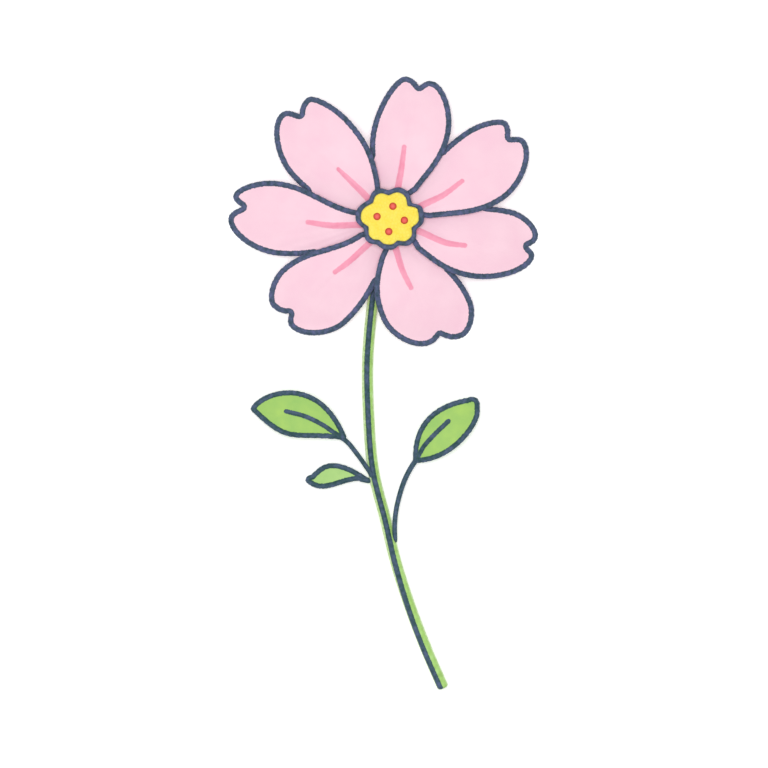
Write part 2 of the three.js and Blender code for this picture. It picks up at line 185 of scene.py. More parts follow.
def addNode(tree, kind, inputs=None, **settings):
    node = tree.nodes.new(kind)
    for setting, value in settings.items():
        setattr(node, setting, value)
    for socket, value in (inputs or {}).items():
        if isinstance(value, bpy.types.NodeSocket):
            tree.links.new(value, node.inputs[socket])
        else:
            node.inputs[socket].default_value = value
    return node


def noiseAt(tree, size, detail=2, stretch=(1, 1, 1)):
    # soft noise whose patches are about size mm across
    where = addNode(tree, "ShaderNodeTexCoord")
    placed = addNode(tree, "ShaderNodeMapping", {"Vector": where.outputs["Object"], "Scale": stretch})
    noise = addNode(tree, "ShaderNodeTexNoise",
                    {"Vector": placed.outputs["Vector"], "Scale": 1 / (size * mm), "Detail": detail})
    return noise.outputs["Fac"]


def colourRamp(tree, factor, stops):
    ramp = addNode(tree, "ShaderNodeValToRGB", {"Fac": factor})
    marks = ramp.color_ramp.elements
    while len(marks) < len(stops):
        marks.new(0.5)
    for mark, (place, colour) in zip(marks, stops):
        mark.position = place
        mark.color = paint(*colour)
    return ramp.outputs["Color"]


def drawnMask(tree, mark, grain, soft):
    # 1 inside a drawn line and 0 outside, its edge broken by a fine grain; all in mm
    edge = addNode(tree, "ShaderNodeAttribute", attribute_name=mark)
    wobble = addNode(tree, "ShaderNodeMath", {0: noiseAt(tree, grain["size"]), 1: 0.5}, operation="SUBTRACT")
    moved = addNode(tree, "ShaderNodeMath",
                    {0: wobble.outputs[0], 1: grain["depth"], 2: edge.outputs["Fac"]},
                    operation="MULTIPLY_ADD")
    mask = addNode(tree, "ShaderNodeMapRange",
                   {"Value": moved.outputs[0], "From Min": -soft, "From Max": soft,
                    "To Min": 1, "To Max": 0}, interpolation_type="SMOOTHSTEP")
    return mask.outputs["Result"]


def mixColours(tree, factor, first, second):
    node = addNode(tree, "ShaderNodeMix", data_type="RGBA")
    tree.links.new(factor, node.inputs[0])
    for colour, socket in ((first, node.inputs[6]), (second, node.inputs[7])):
        if isinstance(colour, bpy.types.NodeSocket):
            tree.links.new(colour, socket)
        else:
            socket.default_value = paint(*colour)
    return node.outputs[2]


# dark lines: patch and grain are sizes in mm; depth is how far the grain moves a line's edge;
# from rimStart to rimEnd, in mm from the line's edge, the rim tone grows to rimShare
petalInk = {
    "tones": [(0.3, (54, 76, 90)), (0.48, (76, 91, 116)), (0.66, (95, 102, 142))],
    "rim": (48, 72, 86), "rimStart": -0.4, "rimEnd": -0.05, "rimShare": 0.5,
    "patch": 1.1, "grain": {"size": 0.35, "depth": 0.34}, "soft": 0.06,
}
leafInk = {**petalInk, "tones": [(0.3, (44, 74, 80)), (0.48, (62, 87, 101)), (0.66, (82, 98, 128))],
           "rim": (42, 86, 50)}


def inkColour(tree, ink):
    # mottled, with another tone along the inner border of the line
    mottled = colourRamp(tree, noiseAt(tree, ink["patch"], detail=5), ink["tones"])
    edge = addNode(tree, "ShaderNodeAttribute", attribute_name="inkEdge")
    border = addNode(tree, "ShaderNodeMapRange",
                     {"Value": edge.outputs["Fac"], "From Min": ink["rimStart"],
                      "From Max": ink["rimEnd"], "To Max": ink["rimShare"]})
    return mixColours(tree, border.outputs["Result"], mottled, ink["rim"])


# surfaces: relief is the height of the fine grain and grain the size of its patches, in mm
plantSkin = {"roughness": 0.62, "shine": 0.2, "relief": 0.02, "grain": 0.3, "detail": 3, "bump": 0.5}
antherSkin = {"roughness": 0.55, "shine": 0.25, "relief": 0.02, "grain": 0.15, "detail": 2, "bump": 0.4}


def coverWith(tree, colour, skin):
    # a colour over a finely grained surface
    shader = tree.nodes["Principled BSDF"]
    tree.links.new(colour, shader.inputs["Base Color"])
    shader.inputs["Roughness"].default_value = skin["roughness"]
    shader.inputs["Specular IOR Level"].default_value = skin["shine"]
    bump = addNode(tree, "ShaderNodeBump", {"Height": noiseAt(tree, skin["grain"], detail=skin["detail"]),
                                            "Strength": skin["bump"], "Distance": skin["relief"] * mm})
    tree.links.new(bump.outputs["Normal"], shader.inputs["Normal"])


def drawnMaterial(name, field, ink, streak=None):
    # a coloured field, an inner streak and the inked outline
    material, tree = newMaterial(name)
    colour = colourRamp(tree, noiseAt(tree, field["patch"], detail=3), field["tones"])
    if streak:
        streakTone = colourRamp(tree, noiseAt(tree, streak["patch"]), streak["tones"])
        mask = drawnMask(tree, "streakEdge", streak["grain"], streak["soft"])
        colour = mixColours(tree, mask, colour, streakTone)
    inkMask = drawnMask(tree, "inkEdge", ink["grain"], ink["soft"])
    coverWith(tree, mixColours(tree, inkMask, colour, inkColour(tree, ink)), plantSkin)
    return material


petalMaterial = drawnMaterial(
    "petalSkin", ink=petalInk,
    field={"patch": 7, "tones": [(0.3, (252, 208, 224)), (0.5, (253, 212, 226)), (0.7, (255, 216, 229))]},
    streak={"patch": 2, "tones": [(0.3, (248, 153, 180)), (0.7, (252, 169, 193))],
            "grain": {"size": 0.6, "depth": 0.25}, "soft": 0.12},
)


def leafMaterialOf(name, tones):
    return drawnMaterial(
        name, ink=leafInk, field={"patch": 4, "tones": tones},
        streak={"patch": 1.6, "tones": leafInk["tones"], "grain": leafInk["grain"], "soft": leafInk["soft"]},
    )


leafMaterial = leafMaterialOf("leafSkin", [(0.3, (156, 202, 108)), (0.5, (165, 207, 109)),
                                           (0.7, (174, 214, 109))])
youngLeafMaterial = leafMaterialOf("youngLeafSkin", [(0.3, (164, 206, 124)), (0.7, (180, 218, 134))])
stemMaterial = drawnMaterial(
    "stemSkin", ink=leafInk,
    field={"patch": 1.6, "tones": [(0.3, (156, 198, 108)), (0.5, (170, 213, 118)), (0.7, (182, 223, 140))]},
    # the streak here is the pale band along each flank: partly the stem's pale strip, partly painted light
    # that offsets the flanks' shade
    streak={"patch": 1, "tones": [(0.3, (184, 218, 138)), (0.7, (230, 243, 208))],
            "grain": {"size": 0.45, "depth": 0.8}, "soft": 0.3},
)
calyxMaterial = drawnMaterial(
    "calyxSkin", ink=leafInk,
    field={"patch": 3, "tones": [(0.3, (150, 198, 104)), (0.7, (172, 214, 117))]},
)
discMaterial = drawnMaterial(
    "discSkin", ink=petalInk,
    field={"patch": 2, "tones": [(0.3, (252, 229, 84)), (0.7, (254, 236, 104))]},
)


# red knobs: tones from the middle to the rim, patch in mm, and how far the patches shift the tones
antherTone = {"tones": [(0.35, (244, 106, 98)), (0.72, (233, 94, 80)), (0.96, (206, 80, 58))],
              "patch": 0.5, "shift": 0.3}


def antherMaterialOf():
    # darker towards the rim of each knob
    material, tree = newMaterial("antherSkin")
    rim = addNode(tree, "ShaderNodeAttribute", attribute_name="knobRim")
    place = addNode(tree, "ShaderNodeMath", {0: noiseAt(tree, antherTone["patch"]), 1: antherTone["shift"],
                                             2: rim.outputs["Fac"]}, operation="MULTIPLY_ADD")
    coverWith(tree, colourRamp(tree, place.outputs[0], antherTone["tones"]), antherSkin)
    return material


antherMaterial = antherMaterialOf()
print("materials made")


# petals, leaves and bracts are all thin blades with a cord along their edge
bladeShape = {
    "half": 0.24,           # half the thickness of the thin blade
    "beadHalf": 0.62,       # half the thickness of the cord along its edge
    "lineWidth": 1.37,      # width of the cord, which is inked
    "trim": 0.04,           # how far the whole outline is drawn in
    "rough": 0.12,          # how much further it wavers inwards
    "thinEdge": 0.3,        # width over which an edge with no cord is rounded
    "bareEdge": 0.3,        # how far the ink keeps off an edge with no cord
    "averaged": 6,          # rows either side over which the direction into the blade is averaged
    "ribShare": 0.4,        # largest share of the half width for the strip along the spine
    "ribFade": 30,          # rows from the tip over which that strip grows to its full width
    "beadSteps": [0, 0.03, 0.1, 0.2, 0.33, 0.47, 0.62, 0.8, 1],
    "fieldSteps": 7,
    "spineSteps": 4,
}
# the outline's wavering: number of waves, their lengths in mm, and what divides their sum
waves = {"count": 6, "lengths": (0.55, 2.2), "scale": 7}


def inwardOf(edge, side, fanRows, averaged):
    # unit step into the blade at each point of an edge; the rows at a notch turn to point straight back
    last = len(edge) - 1 - fanRows
    before = edge[np.maximum(np.arange(last + 1) - 1, 0)]
    after = edge[np.minimum(np.arange(last + 1) + 1, last)]
    heading = (after - before) / np.linalg.norm(after - before, axis=1)[:, None]
    inward = np.column_stack([side * heading[:, 1], -side * heading[:, 0]])
    # averaged along the edge, so that the rows round a tight bend do not cross
    window = np.ones(2 * averaged + 1)
    inward = np.column_stack([np.convolve(np.pad(inward[:, k], averaged, mode="edge"), window, mode="valid")
                              for k in (0, 1)])
    inward /= np.linalg.norm(inward, axis=1)[:, None]
    if not fanRows:
        return inward
    first = math.atan2(inward[-1, 1], inward[-1, 0])
    back = math.pi if first > 0 else -math.pi
    turns = mix(first, back, np.arange(1, fanRows + 1) / fanRows)
    return np.vstack([inward, np.column_stack([np.cos(turns), np.sin(turns)])])


def waver(edge, seed):
    # an uneven line, 0 to 1, along an edge: a sum of a few sine waves
    draw = np.random.default_rng(seed)
    reach = reachAlong(edge)
    wave = sum(np.sin(2 * np.pi * (reach / draw.uniform(*waves["lengths"]) + draw.uniform()))
               for k in range(waves["count"]))
    return np.clip(0.5 + wave / waves["scale"], 0, 1)


def edgeProfile(distance, width, bead, shape):
    # half thickness at a distance from the outline: a round cord with a soft foot, or a plain thin edge
    crest = width / 2
    outer = shape["beadHalf"] * np.sqrt(np.clip(1 - (1 - distance / crest) ** 2, 0, 1))
    fall = (1 + np.cos(np.pi * np.clip((distance - crest) / crest, 0, 1))) / 2
    inner = shape["half"] + (shape["beadHalf"] - shape["half"]) * fall
    thin = shape["half"] * np.sqrt(1 - (1 - np.clip(distance / shape["thinEdge"], 0, 1)) ** 2)
    return mix(thin, np.where(distance < crest, outer, inner), bead)


def bladePiece(name, blade, shape, place):
    # blade: outlines, spine and what changes over its plan; place turns that plan into the head's
    sides = []
    last = len(blade["spine"]) - 1
    rowAt = np.arange(last + 1)
    # rows run square to the outline, but straight to the spine near the root and a pointed tip
    straight = (smooth(rowAt, *blade["rootTurn"]) * smooth(last - rowAt, *blade["tipTurn"]))[:, None]
    for edge, side in ((blade["left"], -1), (blade["right"], 1)):
        across = blade["spine"] - edge
        across /= np.maximum(np.linalg.norm(across, axis=1), 1e-9)[:, None]
        inward = mix(across, inwardOf(edge, side, blade["fanRows"], shape["averaged"]), straight)
        inward /= np.maximum(np.linalg.norm(inward, axis=1), 1e-9)[:, None]
        rough = shape["trim"] + shape["rough"] * waver(edge, blade["seed"] + side)
        rough *= smooth(last - rowAt, 0, blade["smoothTip"])     # none at the tip, where the two sides meet
        edge = edge + inward * rough[:, None]
        room = np.linalg.norm(edge - blade["spine"], axis=1)
        width = np.minimum(shape["lineWidth"], blade["beadShare"] * room)[:, None]
        foot = edge + inward * width
        rib = np.minimum(blade["ribHalf"], shape["ribShare"] * np.linalg.norm(foot - blade["spine"], axis=1))
        rib *= smooth(last - rowAt, 0, shape["ribFade"])
        ribFoot = blade["spine"] + np.column_stack([np.zeros_like(rib), side * rib])
        columns = [edge + inward * width * share for share in shape["beadSteps"]]
        columns += [mix(foot, ribFoot, step / shape["fieldSteps"])
                    for step in range(1, shape["fieldSteps"] + 1)]
        columns += [mix(ribFoot, blade["spine"], step / shape["spineSteps"])
                    for step in range(1, shape["spineSteps"])]
        sides.append((edge, columns))
    (leftEdge, leftColumns), (rightEdge, rightColumns) = sides
    plan = np.stack(leftColumns + [blade["spine"]] + rightColumns[::-1], axis=1)
    rows, columns = plan.shape[:2]
    flat = plan.reshape(-1, 2)
    fromLeft, fromRight = distanceTo(flat, leftEdge), distanceTo(flat, rightEdge)
    distance = np.minimum(fromLeft, fromRight)
    lineWidth = blade["lineWidth"](flat)
    inked = np.where(fromLeft < fromRight, blade["leftInked"](flat), 1.0)
    half = edgeProfile(distance, lineWidth, inked, shape)
    level = blade["height"](flat[:, 0], flat[:, 1])
    streakEdge, rise = blade["streak"](flat)
    top = np.maximum(level + half + rise, blade["lowest"])
    below = np.maximum(level - half, blade["lowest"])
    upper = np.column_stack([place(flat), top]).reshape(rows, columns, 3)
    lower = np.column_stack([place(flat), below]).reshape(rows, columns, 3)
    around = list(range(columns)) + list(range(columns - 2, -1, -1))   # over the top and back underneath
    ring = np.concatenate([upper, lower[:, -2::-1]], axis=1)
    piece, row, column = shapedGrid(name, ring)
    source = row * columns + np.array(around)[column]
    above = column < columns
    topInk = distance - lineWidth * inked + shape["bareEdge"] * (1 - inked)
    setMark(piece, "inkEdge", np.where(above, topInk[source], (distance - lineWidth)[source]))
    setMark(piece, "streakEdge", np.where(above, streakEdge[source], farOff))
    closeSkin(piece)
    return piece


# the petals' dome, in mm: a petal leans by so much for each degree across it, more past leanFrom,
# and its flanks fall by camber at camberHalf from its middle
dome = {"root": 3.4, "rootHalf": 1.3, "neckAt": 8, "top": 8.8, "rootDip": 0.8,
        "leanInner": 0.03, "leanOuter": 0.046, "leanFrom": (7, 10),
        "camber": 0.4, "camberHalf": 10, "camberFrom": (8, 18), "cleftRun": 2.6}
# the left cord fades in over coverFade, short of where the margin parts from the petal above it;
# a cord starts at the root at rootLine of its width and grows over lineGrows
petalEdge = {"coverFade": (5, 1.5), "rootLine": 0.4, "lineGrows": (3, 7.5)}
# rows in each stretch of a flank; fanStep is the least step of the spine, in mm
petalSteps = {"claw": 8, "side": 84, "shoulder": 74, "lobe": 34, "fan": 8, "fanStep": 0.5}
# handles of each stretch of a flank, in shares of the way along and across it
flankHandles = {"claw": [(0.35, 0.3), (0.65, 0.6)], "swing": 0.35, "side": (0.6, 1),
                "shoulder": [(0.47, 0), (1, 0.53)], "lobe": [(0, 0.5), (0.5, 0.78)]}
streakShape = {"start": 5.5, "rise": 0.16, "soft": 0.3}
# shallow lengthwise folds: height in mm, degrees from one to the next, and where they start and end
pleats = {"rise": 0.05, "apart": 5.5, "from": (8, 13), "toRim": (2, 12)}

# each flank: half width at the neck, widest point, crown of the lobe, and how early it swings out;
# parts: how far out the left margin comes clear of the petal that laps over it;
# streak: along, across, half width
petals = {
    "petal_top": {
        "bearing": 77.5, "notch": 33.9, "tip": 1.1, "parts": 18.0,
        "left": {"neck": 5.9, "wide": [21, 9.4], "crown": [35.55, 3.6], "swing": 0.5},
        "right": {"neck": 5.2, "wide": [23.5, 10.3], "crown": [35.8, 2.9], "swing": 0.5},
        "streak": [[8, 0.3, 0.84], [13, 0.1, 0.72], [18.1, -0.4, 0.58]],
    },
    "petal_upper_right": {
        "bearing": 34, "notch": 36.3, "tip": 1.5, "parts": 22.7,
        "left": {"neck": 3.5, "wide": [28, 7.6], "crown": [37.8, 3.4], "swing": 0.5},
        "right": {"neck": 5.6, "wide": [26, 12.3], "crown": [39.0, 3.0], "swing": 0.5},
        "streak": [[8.4, 1.9, 0.84], [14, 2.7, 0.72], [20.1, 2.45, 0.56]],
    },
    "petal_right": {
        "bearing": 348.3, "notch": 35.4, "tip": -0.1, "parts": 25.5,
        "left": {"neck": 3.7, "wide": [29, 8.3], "crown": [37.3, 2.8], "swing": 0.5},
        "right": {"neck": 6.5, "wide": [22, 10.8], "crown": [37.4, 2.2], "swing": 0.6},
        "streak": [[7.8, 1.8, 0.84], [14.9, 3.25, 0.74], [19.7, 2.95, 0.6]],
    },
    "petal_lower_right": {
        "bearing": 293, "notch": 32.1, "tip": 1.2, "parts": 20.7,
        "left": {"neck": 4.2, "wide": [27, 10.9], "crown": [34.7, 5.0], "swing": 0.5},
        "right": {"neck": 6.2, "wide": [22.5, 12.0], "crown": [33.2, 3.2], "swing": 0.75},
        "streak": [[7.8, 1.7, 0.84], [13.2, 2.25, 0.74], [18.1, 2.0, 0.6]],
    },
    "petal_lower_left": {
        "bearing": 223.5, "notch": 34.9, "tip": 1.0, "parts": 17.9,
        "left": {"neck": 7.2, "wide": [26, 11.8], "crown": [37.0, 2.7], "swing": 0.6},
        "right": {"neck": 2.6, "wide": [28.5, 9.6], "crown": [36.8, 4.2], "swing": 0.14},
        "streak": [[8.2, -1.05, 0.8], [15.5, -0.85, 0.72], [19.3, -0.35, 0.58]],
    },
    "petal_left": {
        "bearing": 175.7, "notch": 37.3, "tip": -0.1, "parts": 22.4,
        "left": {"neck": 6.9, "wide": [27, 11.6], "crown": [40.4, 3.2], "swing": 0.62},
        "right": {"neck": 1.3, "wide": [29.5, 7.2], "crown": [39.6, 2.6], "swing": 0.1},
        "streak": [[8, -2.35, 0.78], [14.3, -3.0, 0.78], [20.4, -2.6, 0.6]],
    },
    "petal_upper_left": {
        "bearing": 131, "notch": 34.6, "tip": 1.4, "parts": 23.4,
        "left": {"neck": 7.8, "wide": [24.5, 12.0], "crown": [37.8, 3.4], "swing": 0.55},
        "right": {"neck": 3.7, "wide": [24.5, 8.6], "crown": [36.4, 4.0], "swing": 0.75},
        "streak": [[7.7, -0.95, 0.86], [13, -1.35, 0.74], [17.7, -1.75, 0.48]],
    },
}


def petalFlank(flank, notch, rootHalf, side):
    # root, neck, widest point, over the lobe and down into the notch, where the last rows fan round
    corners = [[dome["root"], rootHalf], [dome["neckAt"], flank["neck"]], flank["wide"], flank["crown"],
               [notch, 0]]
    handles = {**flankHandles, "side": [(flankHandles["swing"], flank["swing"]), flankHandles["side"]]}
    edge = [corners[:1]]
    for part, start, end in zip(("claw", "side", "shoulder", "lobe"), corners, corners[1:]):
        places = [between(start, end, *handle) for handle in handles[part]]
        edge.append(bezier(start, *places, end, petalSteps[part])[1:])
    edge.append(np.repeat(edge[-1][-1:], petalSteps["fan"], axis=0))
    return np.vstack(edge) * [1, side]


leastStep = 0.01      # for the spines of leaves and bracts


def spineOf(middle, left, right, least):
    # points of the middle line, spaced as the edges' rows are, each by the least step or more
    steps = np.linalg.norm(np.diff(left, axis=0), axis=1) + np.linalg.norm(np.diff(right, axis=0), axis=1)
    reach = np.concatenate([[0], np.cumsum(np.maximum(steps, least))])
    line = smoothRoute(middle, routeStep)
    return pointsAt(reach / reach[-1] * reachAlong(line)[-1], line)


def turned(bearing, middle=(0, 0)):
    # from a blade's plan (along, to the right) to the head's plan
    angle = math.radians(bearing)

    def place(flat):
        along, left = flat[:, 0], -flat[:, 1]
        return np.column_stack([middle[0] + along * math.cos(angle) - left * math.sin(angle),
                                middle[1] + along * math.sin(angle) + left * math.cos(angle)])
    return place


def makePetal(name, size):
    turn = (size["right"]["neck"] - size["left"]["neck"]) / 2 * (dome["root"] / dome["neckAt"])
    left = petalFlank(size["left"], size["notch"], dome["rootHalf"] - turn, -1)
    right = petalFlank(size["right"], size["notch"], dome["rootHalf"] + turn, 1)
    outer = (size["left"]["crown"][0] + size["right"]["crown"][0]) / 2
    drawn = np.array(size["streak"])
    middle = [[dome["root"], turn], *drawn[:, :2].tolist(), [size["notch"] - dome["cleftRun"], 0]]
    streakLine = smoothRoute([[streakShape["start"], drawn[0, 1]], *drawn[:, :2].tolist()], routeStep)

    def height(along, across):
        radius = np.hypot(along, across)
        lean = mix(dome["leanInner"], dome["leanOuter"], smooth(radius, *dome["leanFrom"]))
        swing = np.degrees(np.arctan2(across, along))
        neckAt = dome["neckAt"]
        outside = dome["top"] - (dome["top"] - size["tip"]) * ((radius - neckAt) / (outer - neckAt)) ** 2
        inside = dome["top"] - dome["rootDip"] * ((neckAt - radius) / (neckAt - dome["root"])) ** 2
        domed = np.where(radius > neckAt, outside, inside)
        fold = pleats["rise"] * np.cos(2 * np.pi * swing / pleats["apart"]) * smooth(radius, *pleats["from"])
        fold *= smooth(outer - radius, *pleats["toRim"])
        fall = dome["camber"] * smooth(along, *dome["camberFrom"]) * (across / dome["camberHalf"]) ** 2
        return domed + lean * swing - fall + fold

    def leftInked(flat):
        # the left margin has no inked cord where its neighbour lies over it
        start, end = [size["parts"] - short for short in petalEdge["coverFade"]]
        return smooth(np.hypot(flat[:, 0], flat[:, 1]), start, end)

    def streak(flat):
        half = np.interp(flat[:, 0], drawn[:, 0], drawn[:, 2])
        away = distanceTo(flat, streakLine)
        foot = half + streakShape["soft"]
        return away - half, streakShape["rise"] * smooth(foot - away, 0, foot)

    def lineWidth(flat):
        return bladeShape["lineWidth"] * mix(petalEdge["rootLine"], 1,
                                             smooth(flat[:, 0], *petalEdge["lineGrows"]))

    blade = {
        "left": left, "right": right, "spine": spineOf(middle, left, right, petalSteps["fanStep"]),
        "fanRows": petalSteps["fan"], "beadShare": 0.42, "ribHalf": 1.0,
        "rootTurn": (8, 34), "tipTurn": (-1, 0), "smoothTip": 12,
        "height": height, "streak": streak, "leftInked": leftInked, "lowest": 0.005,
        "seed": int(size["bearing"] * 10), "lineWidth": lineWidth,
    }
    petal = bladePiece(name + "_fine", blade, bladeShape, turned(size["bearing"]))
    petal.data.materials.append(petalMaterial)
    putOn(petal, name)


for petalName, petalSize in petals.items():
    makePetal(petalName, petalSize)
print("petals made")


# rows are crowded towards the tip; capRound is how full the tip is
leafShape = {**bladeShape, "half": 0.26, "beadHalf": 0.6, "lineWidth": 1.3, "trough": 0.012,
             "rows": 84, "crowding": 1.5, "flankSteps": 200, "capSteps": 60, "capRound": 0.55,
             "ribHalf": 0.58, "ribRise": 0.3}
stalkShape = {"spacing": 0.22, "corners": 18}
leaves = {
    "leaf_upper_left": {
        "base": [-11.0, -55.1], "tip": [-34.87, -47.64], "baseHeight": 2.6, "tipHeight": 1.3, "arch": 2.2,
        "baseHalf": 0.55, "left": [[12.9, 3.0], [13.0, 6.5], [23.9, 0.95]],
        "right": [[10.0, 13.0], [21.1, 6.9], [23.9, 2.75]],
        "midrib": [[2.5, 0.3], [6.6, 1.5], [11.2, 2.2], [16.3, 2.0]], "ribbed": True,
        "stalk": [[-13.2, -54.3, 2.75], [-10.8, -55.9, 2.7], [-8.3, -58.9, 2.8], [-5.95, -62.2, 2.9],
                  [-5.1, -63.5, 2.8], [-4.4, -64.9, 2.45]],
        "stalkRadius": [0.62, 0.58], "taper": 1.0,
    },
    "leaf_lower_left": {
        "base": [-5.42, -65.5], "tip": [-21.2, -65.6], "baseHeight": 1.7, "tipHeight": 0.8, "arch": 1.0,
        "baseHalf": 0.6, "left": [[5.6, -1.1], [10.5, 4.8], [15.3, 0.8]],
        "right": [[10.9, 8.4], [13.0, 1.8], [14.7, 1.4]],
        "midrib": [[3, 0.95], [6, 1.6], [8.8, 1.4], [11.6, 0.8]], "ribbed": False,
        "stalk": [[-7.8, -65.2, 1.9], [-6.5, -65.4, 1.85], [-5.5, -65.6, 1.75], [-4.6, -65.75, 1.5]],
        "stalkRadius": [0.7, 0.74], "taper": 1.0,
    },
    "leaf_right": {
        "base": [6.1, -60.9], "tip": [21.87, -45.13], "baseHeight": 2.6, "tipHeight": 1.5, "arch": 2.2,
        "baseHalf": 0.6, "left": [[9.5, 10.9], [19.6, 2.6], [21.0, 1.85]],
        "right": [[6.6, 7.2], [18.3, 5.4], [20.6, 2.65]],
        "midrib": [[2.0, -0.4], [4.6, -1.05], [8.5, -1.25], [13.2, -1.15]], "ribbed": True,
        "stalk": [[7.6, -59.3, 2.8], [5.9, -61.4, 2.7], [3.8, -65.2, 2.6], [2.2, -70, 2.7],
                  [1.32, -74.6, 2.85], [1.2, -79.0, 2.75], [1.55, -81.2, 2.3]],
        "stalkRadius": [0.68, 0.6], "taper": 2.6,
    },
}


def tubePlaces(route, angles, radii):
    # rings of points round a route; angles are measured from the top
    heading = np.gradient(route, axis=0)
    heading /= np.linalg.norm(heading, axis=1)[:, None]
    flatHeading = heading * [1, 1, 0]
    upright = np.linalg.norm(flatHeading, axis=1) < leastLevel
    firstUpright = np.argmax(upright) if upright.any() else len(route)
    flatHeading[firstUpright:] = flatHeading[firstUpright - 1]
    flatHeading /= np.linalg.norm(flatHeading, axis=1)[:, None]
    rightward = np.column_stack([flatHeading[:, 1], -flatHeading[:, 0], np.zeros(len(route))])
    upward = np.cross(rightward, heading)
    across, over = np.sin(np.radians(angles)) * radii, np.cos(np.radians(angles)) * radii
    return (route[:, None, :] + rightward[:, None, :] * across[..., None]
            + upward[:, None, :] * over[..., None])


def roundEnd(fromEnd, length):
    # 0 to 1, as an end closes like a ball over its last length
    return np.sqrt(1 - (1 - np.clip(fromEnd / length, 0, 1)) ** 2)


def makeStalk(name, points, radius, taper):
    route = smoothRoute(points, stalkShape["spacing"])
    reach = np.arange(len(route)) * stalkShape["spacing"]
    size = mix(*radius, reach / reach[-1]) * roundEnd(reach, radius[0]) * roundEnd(reach[-1] - reach, taper)
    angles = np.linspace(0, 360, stalkShape["corners"] + 1)
    places = tubePlaces(route, angles[None, :], np.repeat(size[:, None], len(angles), axis=1))
    places[:, -1] = places[:, 0]
    stalk, row, column = shapedGrid(name, places)
    setMark(stalk, "inkEdge", np.full(len(row), allInk))
    setMark(stalk, "streakEdge", np.full(len(row), farOff))
    closeSkin(stalk)
    return stalk


def leafFlank(handles, baseHalf, length, side):
    # from the base along the flank to its shoulder, then round the tip, closer set towards the tip
    first, second, shoulder = [np.array([along, side * across]) for along, across in handles]
    turnIn = shoulder + (shoulder - second) / np.linalg.norm(shoulder - second) * (length - shoulder[0]) / 2
    flank = bezier([0, side * baseHalf], first, second, shoulder, leafShape["flankSteps"])
    cap = bezier(shoulder, turnIn, [length, leafShape["capRound"] * shoulder[1]], [length, 0],
                 leafShape["capSteps"])
    edge = np.vstack([flank, cap[1:]])
    crowded = 1 - (1 - np.linspace(0, 1, leafShape["rows"] + 1)) ** leafShape["crowding"]
    return pointsAt(reachAlong(edge)[-1] * crowded, edge)


def makeLeaf(name, size):
    base, tip = np.array(size["base"]), np.array(size["tip"])
    axis = tip - base
    length = np.linalg.norm(axis)
    left = leafFlank(size["left"], size["baseHalf"], length, -1)
    right = leafFlank(size["right"], size["baseHalf"], length, 1)
    ribLine = smoothRoute([[0, 0], *size["midrib"]], routeStep)

    def height(along, across):
        way = along / length
        line = mix(size["baseHeight"], size["tipHeight"], way)
        return line + size["arch"] * np.sin(np.pi * way) + leafShape["trough"] * across ** 2

    def midrib(flat):
        away = distanceTo(flat, ribLine)
        if not size["ribbed"]:
            return np.full(len(flat), farOff), np.zeros(len(flat))
        crest = np.sqrt(np.clip(1 - (away / leafShape["ribHalf"]) ** 2, 0, 1))
        return away - leafShape["ribHalf"], leafShape["ribRise"] * crest

    blade = {
        "left": left, "right": right, "fanRows": 0, "beadShare": 0.6, "ribHalf": 0.9,
        "rootTurn": (1, 12), "tipTurn": (8, 34), "smoothTip": 8,
        "spine": spineOf([[0, 0], *size["midrib"], [length, 0]], left, right, leastStep),
        "height": height, "streak": midrib, "leftInked": lambda flat: np.ones(len(flat)), "lowest": 0.02,
        "seed": int(length * 10),
        "lineWidth": lambda flat: np.full(len(flat), leafShape["lineWidth"]),
    }
    place = turned(math.degrees(math.atan2(axis[1], axis[0])), base)
    piece = bladePiece(name + "_fine", blade, leafShape, place)
    stalk = makeStalk(name + "_stalk", size["stalk"], size["stalkRadius"], size["taper"])
    leaf = joinPieces(name + "_fine", [piece, stalk])
    leaf.data.materials.append(leafMaterial if size["ribbed"] else youngLeafMaterial)
    putOn(leaf, name)


for leafName, leafSize in leaves.items():
    makeLeaf(leafName, leafSize)
print("leaves made")


stem = {
    "radius": 1.4, "level": 1.43, "ridge": 0.3, "ridgeWide": 30, "neckBend": 3.05,
    "drift": [-106, -76],       # between these y the ridge leans over and its ink grows narrower
    "ridgeSide": [-36, -6], "lineHalf": [0.96, 0.8],
    "paleAndPaintedLightPast": [-44, 58], "paleAndPaintedLightEnd": 104,      # degrees from the top where the flank bands start and end: partly the stem's pale strip, partly painted light
    "route": [[13.38, -117.6], [9.1, -107.8], [4.8, -96.5], [1.45, -86], [-1.2, -75.2], [-4.2, -62.9],
              [-5.4, -48], [-5.6, -36], [-4.5, -22.5], [-2.9, -11]],
    "corners": 72, "spacing": 0.35, "neckPoints": 5, "cutRound": 0.7, "cutShare": 0.55, "lowest": 0.02,
}


